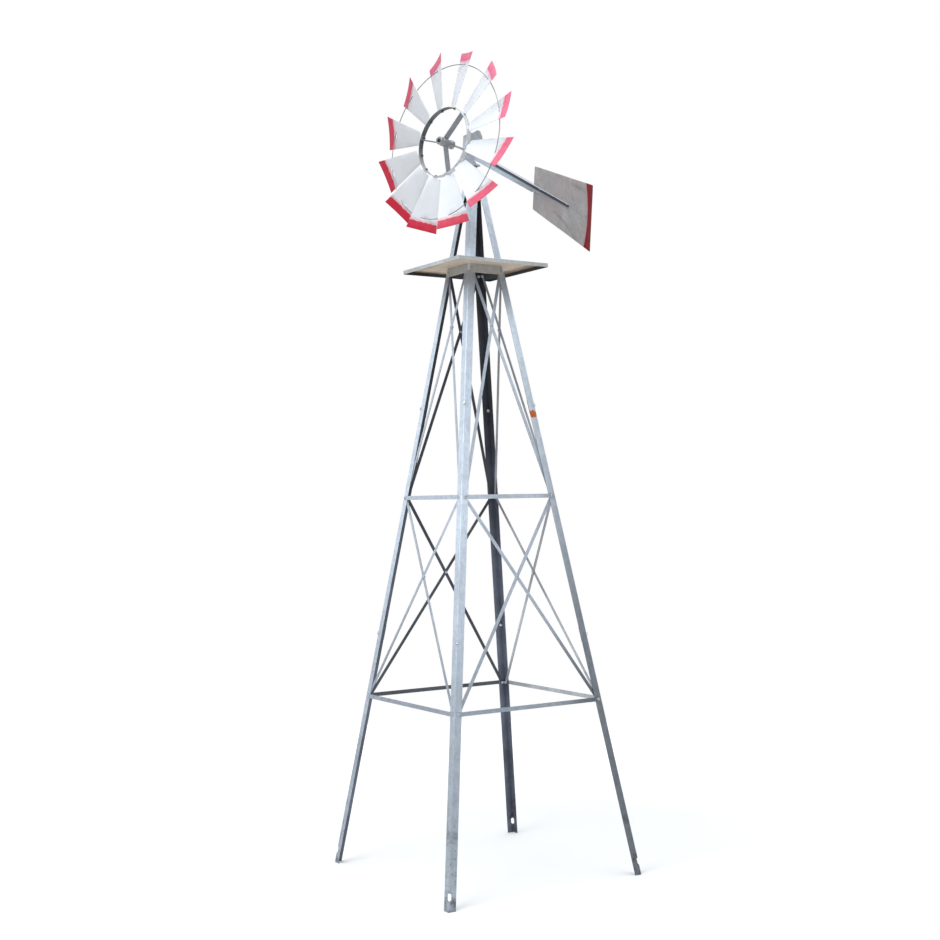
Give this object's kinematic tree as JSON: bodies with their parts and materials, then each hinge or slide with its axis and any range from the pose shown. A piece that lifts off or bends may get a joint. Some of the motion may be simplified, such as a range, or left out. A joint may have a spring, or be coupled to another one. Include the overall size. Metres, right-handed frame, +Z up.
{
  "type": "garden windmill",
  "caption": "Ornamental garden windmill: turning head with a bladed wheel and tail vane on a four-legged braced lattice tower with a small deck.",
  "frame": {"origin": "on the ground, on the tower axis, in the middle of the four feet", "axes": "+Z up the tower; -Y is the front face of the square tower, nearest the side that the wheel faces at rest; +X is the right face"},
  "size_m": [0.6568, 0.997, 2.4115],
  "materials": {
    "leg_steel": "satin, pale galvanised",
    "strip_steel": "satin, galvanised strip",
    "deck_sheet": "satin, galvanised sheet",
    "head_steel": "satin grey",
    "boom_steel": "smooth, slightly glossy",
    "vane_sheet": "matt galvanised grey with a dark red band at the rear edge",
    "blade_sheet": "satin silver-white with soft-edged red tips",
    "ring_steel": "satin",
    "wire_steel": "drawn wire",
    "bright_steel": "turned",
    "zinc_fasteners": "bright zinc plate",
    "dark_fasteners": "black oxide",
    "bush_plastic": "moulded nylon"
  },
  "bodies": {
    "tower": {"lower_braces_front": "strip_steel", "lower_braces_left": "strip_steel", "lower_braces_rear": "strip_steel", "lower_braces_right": "strip_steel", "lower_girt_front": "strip_steel", "lower_girt_left": "strip_steel", "lower_girt_rear": "strip_steel", "lower_girt_right": "strip_steel", "lower_leg_front_left": "leg_steel", "lower_leg_front_right": "leg_steel", "lower_leg_rear_left": "leg_steel", "lower_leg_rear_right": "leg_steel", "middle_leg_front_left": "leg_steel", "middle_leg_front_right": "leg_steel", "middle_leg_rear_left": "leg_steel", "middle_leg_rear_right": "leg_steel", "upper_braces_front": "strip_steel", "upper_braces_left": "strip_steel", "upper_braces_rear": "strip_steel", "upper_braces_right": "strip_steel", "upper_girt_front": "strip_steel", "upper_girt_left": "strip_steel", "upper_girt_rear": "strip_steel", "upper_girt_right": "strip_steel", "upper_leg_front_left": "leg_steel", "upper_leg_front_right": "leg_steel", "upper_leg_rear_left": "leg_steel", "upper_leg_rear_right": "leg_steel", "deck": "deck_sheet", "tower_cap": "strip_steel", "pivot_post": "bright_steel", "pivot_washers": "zinc_fasteners", "frame_bolts": "zinc_fasteners", "frame_nuts": "zinc_fasteners", "brace_spacers": "zinc_fasteners"},
    "head": {"head_bracket": "head_steel", "pivot_bush": "bush_plastic", "wheel_shaft": "bright_steel", "shaft_nuts": "dark_fasteners", "tail_boom": "boom_steel", "tail_vane": "vane_sheet", "tail_bolts": "zinc_fasteners"},
    "wheel": {"blade_01": "blade_sheet", "blade_02": "blade_sheet", "blade_03": "blade_sheet", "blade_04": "blade_sheet", "blade_05": "blade_sheet", "blade_06": "blade_sheet", "blade_07": "blade_sheet", "blade_08": "blade_sheet", "blade_09": "blade_sheet", "blade_10": "blade_sheet", "blade_11": "blade_sheet", "blade_12": "blade_sheet", "hub": "head_steel", "hub_bearings": "bright_steel", "spokes": "strip_steel", "inner_ring": "ring_steel", "wire_ring": "wire_steel", "wheel_bolts": "zinc_fasteners"}
  },
  "joints": [
    {"name": "head_yaw", "type": "hinge", "parent": "tower", "child": "head", "pos_m": [0, 0, 2.1299], "axis": [0, 0, 1], "continuous": true},
    {"name": "wheel_spin", "type": "hinge", "parent": "head", "child": "wheel", "pos_m": [0.02423, -0.11557, 2.14198], "axis": [0.2041, -0.9736, 0.1018], "continuous": true}
  ]
}
